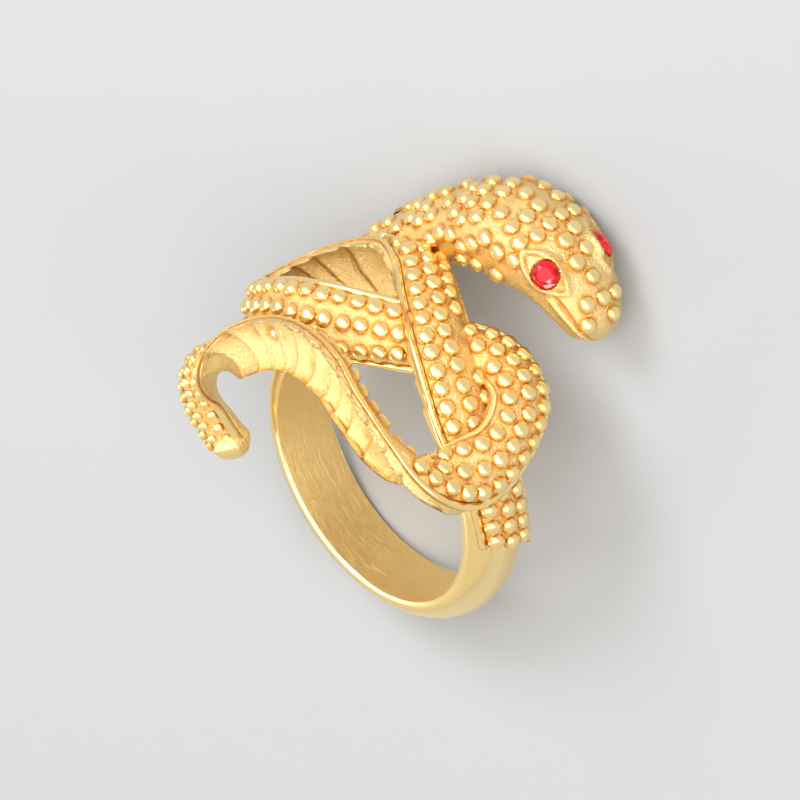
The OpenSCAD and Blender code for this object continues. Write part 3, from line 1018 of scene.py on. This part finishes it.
class SNAKE_OT_stones(Maker, bpy.types.Operator):
    """Round faceted stones for the eyes"""

    bl_idname = "snake.stones"
    bl_label = "Eye stones"

    def execute(self, context):
        sizes = self.sizes
        material = red_stone(self.colours)
        for side, name in ((1, "right"), (-1, "left")):
            eye = Eye(sizes, side)
            points = self.corners(eye, sizes.eye_d / 2)
            skin = Skin()
            for face in convex_faces(points):
                corners = points[list(face)]
                normal = unit(np.cross(corners[1] - corners[0], corners[2] - corners[0]))
                local = np.array([normal @ eye.fore, normal @ eye.aside, normal @ eye.out])
                # Painted light and shade: a tone for each facet from its direction
                facet = 0.5 + 0.5 * math.sin(local.round(2) @ FACET_MIX)
                skin.add(corners, [(0, 1, 2)], 1, facet, corners)
            stone = skin.finish(f"{name}_stone", sizes, material, smooth=False)
            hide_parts(f"eye_stone_{name}")
        return {"FINISHED"}

    def corners(self, eye, r):
        points = []
        for height, radius, sides, start in STONE_RINGS:
            for i in range(sides):
                a = math.radians(start + 360 * i / sides)
                points.append(eye.middle + eye.out * (height * r)
                              + (eye.fore * math.cos(a) + eye.aside * math.sin(a)) * (radius * r))
        return np.array(points)


def convex_faces(points):
    """Triangles of the convex stone through these points."""
    bm = bmesh.new()
    verts = [bm.verts.new(p) for p in points]
    bm.verts.index_update()
    bmesh.ops.convex_hull(bm, input=verts)
    faces = [tuple(v.index for v in f.verts) for f in bm.faces]
    bm.free()
    return faces


# Studio, in metres and watts

FLOOR_HALF = 0.9
# Camera's directions right, up and back from the upright ring, and its aim right and up in mm
CAMERA_AXES = ((0.669, 0.743, 0), (-0.474, 0.427, 0.769), (0.571, -0.515, 0.638))
AIM_RIGHT, AIM_UP = 2.63, 5.28
CAMERA_AWAY, CAMERA_LENS = 1.2, 754
WORLD_COLOUR, WORLD_STRENGTH = (1, 0.92, 0.8), 0.8
# Name, direction, distance, width and power of each lamp
LAMPS = (("key", (0.65, 0, 0.74), 0.24, 0.12, 0.3),
         ("fill", (-0.5, -0.75, 0.45), 0.26, 0.1, 0.12),
         ("back", (-0.1, 0.9, 0.5), 0.26, 0.12, 0.12),
         ("softbox", (-0.05, -0.35, 0.93), 0.55, 0.7, 2.5))


class SNAKE_OT_studio(Maker, bpy.types.Operator):
    """Plain pale floor, soft lights and the camera"""

    bl_idname = "snake.studio"
    bl_label = "Studio"

    def execute(self, context):
        scene = context.scene
        self.floor(scene)
        self.camera(scene)
        self.world(scene)
        for name, direction, distance, width, power in LAMPS:
            self.lamp(scene, name, Vector(direction).normalized(), distance, width, power)
        return {"FINISHED"}

    def floor(self, scene):
        low, w = CAD_BOX[0][2], FLOOR_HALF
        mesh = bpy.data.meshes.new("floor")
        mesh.from_pydata([(-w, -w, low), (w, -w, low), (w, w, low), (-w, w, low)], [],
                         [(0, 1, 2, 3)])
        mesh.materials.append(floor_paper(self.colours))
        floor = bpy.data.objects.new("floor", mesh)
        scene.collection.objects.link(floor)

    def camera(self, scene):
        right, up, back = (REST @ Vector(v).normalized() for v in CAMERA_AXES)
        offset = REST @ Vector((0, self.sizes.band_w / 2, 0))
        target = (right * AIM_RIGHT + up * AIM_UP - offset) * MM
        camera = bpy.data.objects.new("camera", bpy.data.cameras.new("camera"))
        camera.data.lens = CAMERA_LENS
        camera.data.sensor_width = 36
        camera.data.clip_start = 0.01
        axes = Matrix((right, up, back)).transposed().to_4x4()
        camera.matrix_world = Matrix.Translation(target + back * CAMERA_AWAY) @ axes
        scene.collection.objects.link(camera)
        scene.camera = camera
        scene.view_settings.view_transform = "Standard"

    def world(self, scene):
        scene.world = bpy.data.worlds.new("studio")
        scene.world.use_nodes = True
        background = scene.world.node_tree.nodes["Background"]
        background.inputs["Color"].default_value = rgba(WORLD_COLOUR)
        background.inputs["Strength"].default_value = WORLD_STRENGTH

    def lamp(self, scene, name, direction, distance, width, power):
        data = bpy.data.lights.new(name, "AREA")
        data.shape = "DISK"
        data.size = width
        data.energy = power
        lamp = bpy.data.objects.new(name, data)
        lamp.location = direction * distance
        lamp.rotation_mode = "QUATERNION"
        lamp.rotation_quaternion = direction.to_track_quat("Z", "Y")
        scene.collection.objects.link(lamp)


class SNAKE_PT_panel(bpy.types.Panel):
    """Lists the pieces of the snake ring"""

    bl_idname = "SNAKE_PT_panel"
    bl_label = "Snake ring"
    bl_space_type = "VIEW_3D"
    bl_region_type = "UI"
    bl_category = "Snake ring"

    def draw(self, context):
        for maker in MAKERS:
            self.layout.operator(maker.bl_idname)
        for group in (context.scene.snake_sizes, context.scene.snake_colours):
            box = self.layout.box()
            for name in group.__annotations__:
                box.prop(group, name)


MAKERS = (SNAKE_OT_band, SNAKE_OT_body, SNAKE_OT_head, SNAKE_OT_stones, SNAKE_OT_studio)
CLASSES = (SNAKE_PG_sizes, SNAKE_PG_colours, *MAKERS, SNAKE_PT_panel)


def register():
    for cls in CLASSES:
        bpy.utils.register_class(cls)
    bpy.types.Scene.snake_sizes = PointerProperty(type=SNAKE_PG_sizes)
    bpy.types.Scene.snake_colours = PointerProperty(type=SNAKE_PG_colours)


def unregister():
    del bpy.types.Scene.snake_sizes
    del bpy.types.Scene.snake_colours
    for cls in reversed(CLASSES):
        bpy.utils.unregister_class(cls)


def main():
    register()
    bpy.ops.snake.band()
    bpy.ops.snake.body()
    bpy.ops.snake.head()
    bpy.ops.snake.stones()
    bpy.ops.snake.studio()


if __name__ == "__main__":
    main()
